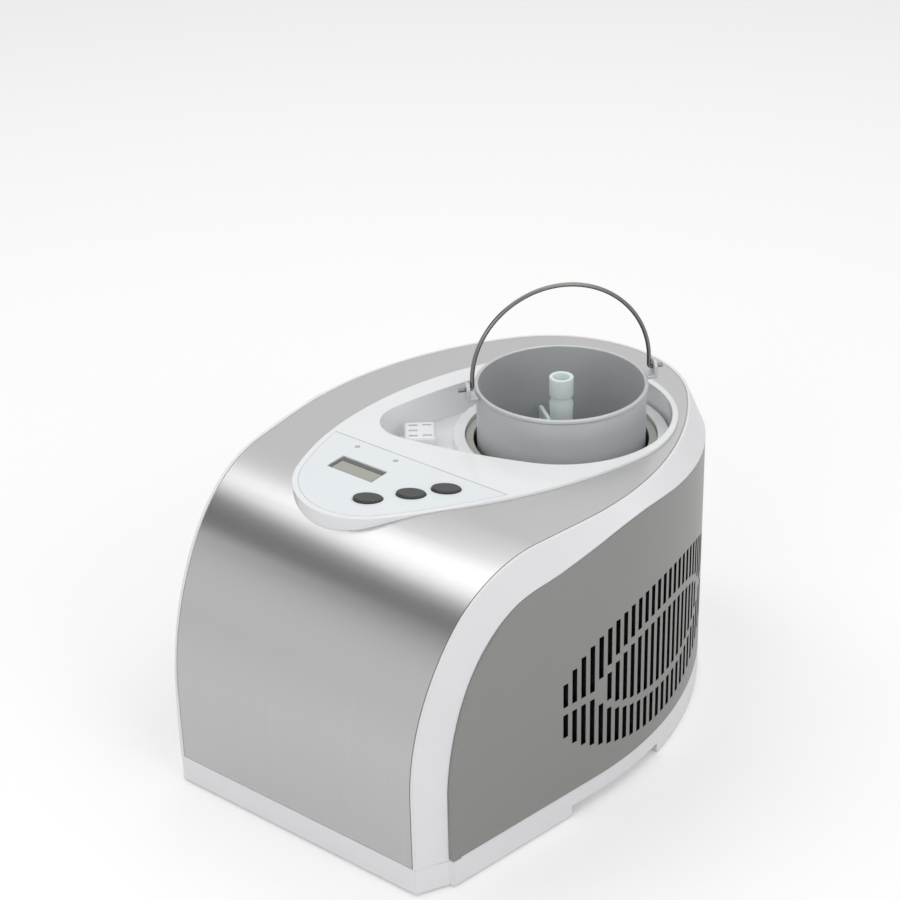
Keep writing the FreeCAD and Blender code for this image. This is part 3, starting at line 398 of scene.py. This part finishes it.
def thicken(bm, faces, step):
    """Extrude faces by a step, and give the vertices that are new."""
    verts = vertices_in(bmesh.ops.extrude_face_region(bm, geom=faces))
    move(bm, verts, step)
    return verts


def crisp_edges(bm, above=-math.inf, below=math.inf):
    """Crisp edges that lie wholly between two heights."""
    return [edge for edge in bm.edges if edge.calc_face_angle(0.0) > CRISP
            and all(above * MM < vert.co.z < below * MM for vert in edge.verts)]


def round_off(bm, edges, radius, segments):
    """Round edges by a radius."""
    bmesh.ops.bevel(bm, geom=edges, offset=radius * MM, affect="EDGES", segments=segments,
                    profile=0.5, material=-1)


def to_well(bm, bearing=0.0):
    """Turn a piece made round the origin by a bearing, and set it over the well."""
    bmesh.ops.rotate(bm, verts=bm.verts, cent=(0, 0, 0), matrix=Matrix.Rotation(bearing, 3, "Z"))
    move(bm, bm.verts, WELL)


def bowl():
    """Spun bowl with a rolled rim, a rounded foot, and the pin that the paddle turns on."""
    outer, inner, lip, pin = 59.5, 58, 60.7, 5
    floor, lip_foot = BOWL_BASE + 1.5, BOWL_RIM - 3
    bm = turned([(0, BOWL_BASE), (outer, BOWL_BASE), (outer, lip_foot), (lip, lip_foot),
                 (lip, BOWL_RIM), (inner, BOWL_RIM), (inner, floor), (pin, floor),
                 (pin, PIN_TOP), (0, PIN_TOP)])
    clear_of_pin = 50 * MM
    foot = [edge for edge in crisp_edges(bm, below=floor + 0.1)
            if min(vert.co.xy.length for vert in edge.verts) > clear_of_pin]
    round_off(bm, foot, radius=4, segments=6)
    round_off(bm, crisp_edges(bm, above=lip_foot - 1), radius=0.9, segments=5)
    to_well(bm)
    piece("bowl_finished", bm, "bowl_aluminium", "bowl", "bowl")


def bail():
    """Round steel wire: an arch, a tight bend at each foot, and stubs that turn in the ears."""
    wire, reach, bend, leg, stub = 1.5, 64.0, 2.0, 6.0, 74.0
    bend_steps, arch_steps = 8, 72
    bm = bmesh.new()
    end = bmesh.ops.create_circle(bm, cap_ends=True, segments=20, radius=wire * MM)["verts"]
    bmesh.ops.rotate(bm, verts=end, cent=(0, 0, 0), matrix=Matrix.Rotation(QUARTER_TURN, 3, "Y"))
    move(bm, end, (stub, 0, HINGE_Z))

    def run(edges, step):
        """Carry the wire straight on, and give its new end."""
        grown = bmesh.ops.extrude_edge_only(bm, edges=edges)
        verts = vertices_in(grown)
        move(bm, verts, step)
        return [item for item in grown["geom"] if isinstance(item, bmesh.types.BMEdge)
                and all(vert in verts for vert in item.verts)]

    def curve(edges, centre, angle, steps):
        """Carry the wire round a centre, and give its new end."""
        last = bmesh.ops.spin(bm, geom=edges, cent=Vector(centre) * MM, axis=(0, 1, 0),
                              angle=angle, steps=steps)["geom_last"]
        return [item for item in last if isinstance(item, bmesh.types.BMEdge)]

    tip = run(bm.edges[:], (reach + bend - stub, 0, 0))
    tip = curve(tip, (reach + bend, 0, HINGE_Z + bend), QUARTER_TURN, bend_steps)
    tip = run(tip, (0, 0, leg - bend))
    tip = curve(tip, (0, 0, HINGE_Z + leg), -2 * QUARTER_TURN, arch_steps)
    tip = run(tip, (0, 0, bend - leg))
    tip = curve(tip, (-reach - bend, 0, HINGE_Z + bend), QUARTER_TURN, bend_steps)
    tip = run(tip, (reach + bend - stub, 0, 0))
    bmesh.ops.holes_fill(bm, edges=tip)
    bmesh.ops.remove_doubles(bm, verts=bm.verts, dist=MERGE)
    bmesh.ops.recalc_face_normals(bm, faces=bm.faces)
    to_well(bm, EAR_BEARING)
    piece("bail_finished", bm, "bail_steel", "bail", "bail_handle")


def display_pocket_shade():
    """Grey frame round the display, wider at its left and rear: painted shade of the sunk pocket's
    walls.
    """
    border, wider_left, wider_rear, height = 0.6, 1.6, 2.8, 0.4
    near = 2 * MM
    low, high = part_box("display_window")
    bm = bmesh.new()
    corners = [(low.x, low.y), (high.x, low.y), (high.x, high.y), (low.x, high.y)]
    pane = bm.faces.new([bm.verts.new((x, y, high.z)) for x, y in corners])
    bm.normal_update()
    bmesh.ops.inset_region(bm, faces=[pane], thickness=border * MM, use_even_offset=True,
                           use_boundary=True)
    left = [vert for vert in pane.verts if vert.co.x < low.x + near]
    rear = [vert for vert in pane.verts if vert.co.y > high.y - near]
    move(bm, left, (wider_left, 0, 0))
    move(bm, rear, (0, -wider_rear, 0))
    bmesh.ops.delete(bm, geom=[pane], context="FACES_ONLY")
    thicken(bm, bm.faces[:], (0, 0, height))
    bmesh.ops.recalc_face_normals(bm, faces=bm.faces)
    piece("display_pocket_shade", bm, POCKET_SHADE, "housing")


def overlay_seam():
    """Narrow joint along the overlay's straight rear edge."""
    overlap, lift, width, slope, depth = 0.1, 0.03, 0.7, 0.02, 0.2
    near, facing_up = 0.02 * MM, 0.8
    rear_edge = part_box("control_overlay")[1].y
    bm = merged_copy("control_overlay")
    bm.normal_update()
    rear = [edge for edge in bm.edges
            if min(vert.co.y for vert in edge.verts) > rear_edge - near
            and max(face.normal.z for face in edge.link_faces) > facing_up]
    line = {vert for edge in rear for vert in edge.verts}
    bmesh.ops.delete(bm, geom=[vert for vert in bm.verts if vert not in line], context="VERTS")
    bmesh.ops.delete(bm, geom=bm.faces[:], context="FACES_ONLY")
    move(bm, bm.verts, (0, -overlap, lift))
    ribbon = vertices_in(bmesh.ops.extrude_edge_only(bm, edges=bm.edges[:]))
    move(bm, ribbon, (0, width, slope))
    thicken(bm, bm.faces[:], (0, 0, -depth))
    bmesh.ops.recalc_face_normals(bm, faces=bm.faces)
    piece("overlay_seam", bm, SEAM, "housing")


def dasher():
    """Paddle: a waisted hub with an open tube on top, and a flat frame on each side of it."""
    foot, top = BOWL_BASE + 1.8, BOWL_RIM + 4
    bore, hub, tube, waist, tube_bore = 5.05, 8.05, 8.5, 6.3, 6
    bore_top, hub_top, neck = PIN_TOP + 0.3, top - 29, top - 20.5
    tube_foot, tube_cone = top - 14.5, 3
    bm = turned([(0, bore_top), (bore, bore_top), (bore, foot), (hub, foot), (hub, hub_top),
                 (tube, neck), (waist, tube_foot), (tube, tube_foot), (tube, top),
                 (tube_bore, top), (tube_bore, tube_foot), (0, tube_foot - tube_cone)], steps=64)
    round_off(bm, crisp_edges(bm, above=neck - 1.5), radius=0.7, segments=4)
    root, reach, bar, thickness, head = 7, 53, 9, 3, foot + 84
    outline = [(root, foot), (reach, foot), (reach, head), (root, head), (root, head - bar),
               (reach - bar, head - bar), (reach - bar, foot + bar), (root, foot + bar)]
    for side in (1, -1):
        front = [bm.verts.new(Vector((side * x, -thickness / 2, z)) * MM) for x, z in outline]
        back = thicken(bm, [bm.faces.new(front)], (0, thickness, 0))
        plate = {*front, *back}
        rims = [edge for edge in crisp_edges(bm) if all(vert in plate for vert in edge.verts)]
        round_off(bm, rims, radius=0.8, segments=3)
    bmesh.ops.recalc_face_normals(bm, faces=bm.faces)
    to_well(bm, EAR_BEARING + QUARTER_TURN)
    piece("dasher_finished", bm, "dasher_plastic", "dasher", "dasher")


def dress():
    """Finish every node of the machine, and add the pieces that stand for a plainer solid."""
    slots = {part["node"]: part["material_slot"] for part in frame["record"]["subparts"]}
    for node, slot in slots.items():
        paint(frame["nodes"][node], slot)
    for node in ("body_frame", "front_top_panel", "right_side_cover", "left_side_cover",
                 "rear_cover", "top_insert", "control_overlay", "base_tray", "cooling_pot",
                 "well_ring"):
        shell(node, slots[node])
    for node, radius in (("connector_socket", 0.6), ("rubber_feet", 0.8), ("cord_gland", 0.6)):
        shell(node, slots[node], round_edge=radius)
    for node in ("left_button", "middle_button", "right_button"):
        shell(node, slots[node], body=node, round_edge=0.8)
    shell("bowl_ears", "bowl_aluminium", body="bowl", round_edge=0.5)
    bowl()
    bail()
    dasher()
    display_pocket_shade()
    overlay_seam()


# Studio

def camera():
    """View from the front right and above, framed as the photograph is."""
    bearing, downwards = 36.8, 28.45
    data = bpy.data.cameras.new("camera")
    data.sensor_width = 36.0
    data.lens = 88.0
    data.shift_x = -0.114
    data.shift_y = 0.018
    obj = new_object("camera", data)
    obj.location = (0.844, -1.0385, 0.921)
    obj.rotation_euler = (math.radians(90 - downwards), 0, math.radians(bearing))
    bpy.context.scene.camera = obj


def facing(place, target):
    """Turn that points a lamp or a card at a place in the scene."""
    return (Vector(target) - Vector(place)).to_track_quat("-Z", "Y")


def softbox(name, place, target, width, power):
    """Square lamp that faces a point on the object."""
    data = bpy.data.lights.new(name, "AREA")
    data.size = width
    data.energy = power
    obj = new_object(name, data)
    obj.location = place
    obj.rotation_euler = facing(place, target).to_euler()


def studio_floor():
    """Wide floor that is white to the camera and in reflections, and takes the object's shadow."""
    half_width, camera_glow, mirror_glow = 6.0, 0.2, 0.05
    bm = bmesh.new()
    bmesh.ops.create_grid(bm, x_segments=1, y_segments=1, size=half_width)
    obj = mesh_object("floor", bm)
    material, tree, shader = finish("studio_floor", {"Roughness": 0.9,
                                                     "Base Color": linear("#f4f4f4"),
                                                     "Emission Color": linear("#ffffff")})
    ray = add(tree, "ShaderNodeLightPath")
    mirrored = add(tree, "ShaderNodeMath", {0: ray.outputs["Is Glossy Ray"]}, {1: mirror_glow},
                   operation="MULTIPLY")
    glow = add(tree, "ShaderNodeMath",
               {0: ray.outputs["Is Camera Ray"], 2: mirrored.outputs["Value"]}, {1: camera_glow},
               operation="MULTIPLY_ADD")
    link(tree, shader, {"Emission Strength": glow.outputs["Value"]})
    obj.data.materials.append(material)


def studio_walls():
    """Even walls: white to the camera, in reflections and through glass, and softer as a light."""
    as_light, as_seen = 0.5, 0.85
    world = bpy.data.worlds.new("studio")
    bpy.context.scene.world = world
    world.use_nodes = True
    tree = world.node_tree
    backdrop = tree.nodes["Background"]
    set_values(backdrop, {"Color": linear("#ffffff")})
    ray = add(tree, "ShaderNodeLightPath")
    seen = add(tree, "ShaderNodeMath",
               {0: ray.outputs["Is Camera Ray"], 1: ray.outputs["Is Glossy Ray"]},
               operation="MAXIMUM")
    clear = add(tree, "ShaderNodeMath",
                {0: seen.outputs["Value"], 1: ray.outputs["Is Transmission Ray"]},
                operation="MAXIMUM")
    level = add(tree, "ShaderNodeMapRange", {"Value": clear.outputs["Value"]},
                {"To Min": as_light, "To Max": as_seen})
    link(tree, backdrop, {"Strength": level.outputs["Result"]})


def dark_card():
    """Dark card high at the front left, which draws the dark line under the steel's bend."""
    place, target = Vector((-0.95, -0.86, 1.14)), (0, -0.1, 0.18)
    half_length, half_height = 0.95, 0.3
    bm = bmesh.new()
    bmesh.ops.create_grid(bm, x_segments=1, y_segments=1, size=1.0)
    bmesh.ops.scale(bm, verts=bm.verts, vec=(half_length, half_height, 1))
    bmesh.ops.rotate(bm, verts=bm.verts, cent=(0, 0, 0), matrix=facing(place, target).to_matrix())
    bmesh.ops.translate(bm, verts=bm.verts, vec=place)
    obj = mesh_object("dark_card", bm)
    obj.data.materials.append(finish("card", {"Roughness": 0.9,
                                              "Base Color": linear("#1e1e1e")})[0])
    obj.visible_camera = False
    obj.visible_shadow = False
    obj.visible_diffuse = False


dress()
camera()
studio_floor()
studio_walls()
dark_card()
for lamp in LAMPS:
    softbox(*lamp)
bpy.context.scene.view_settings.view_transform = "Standard"
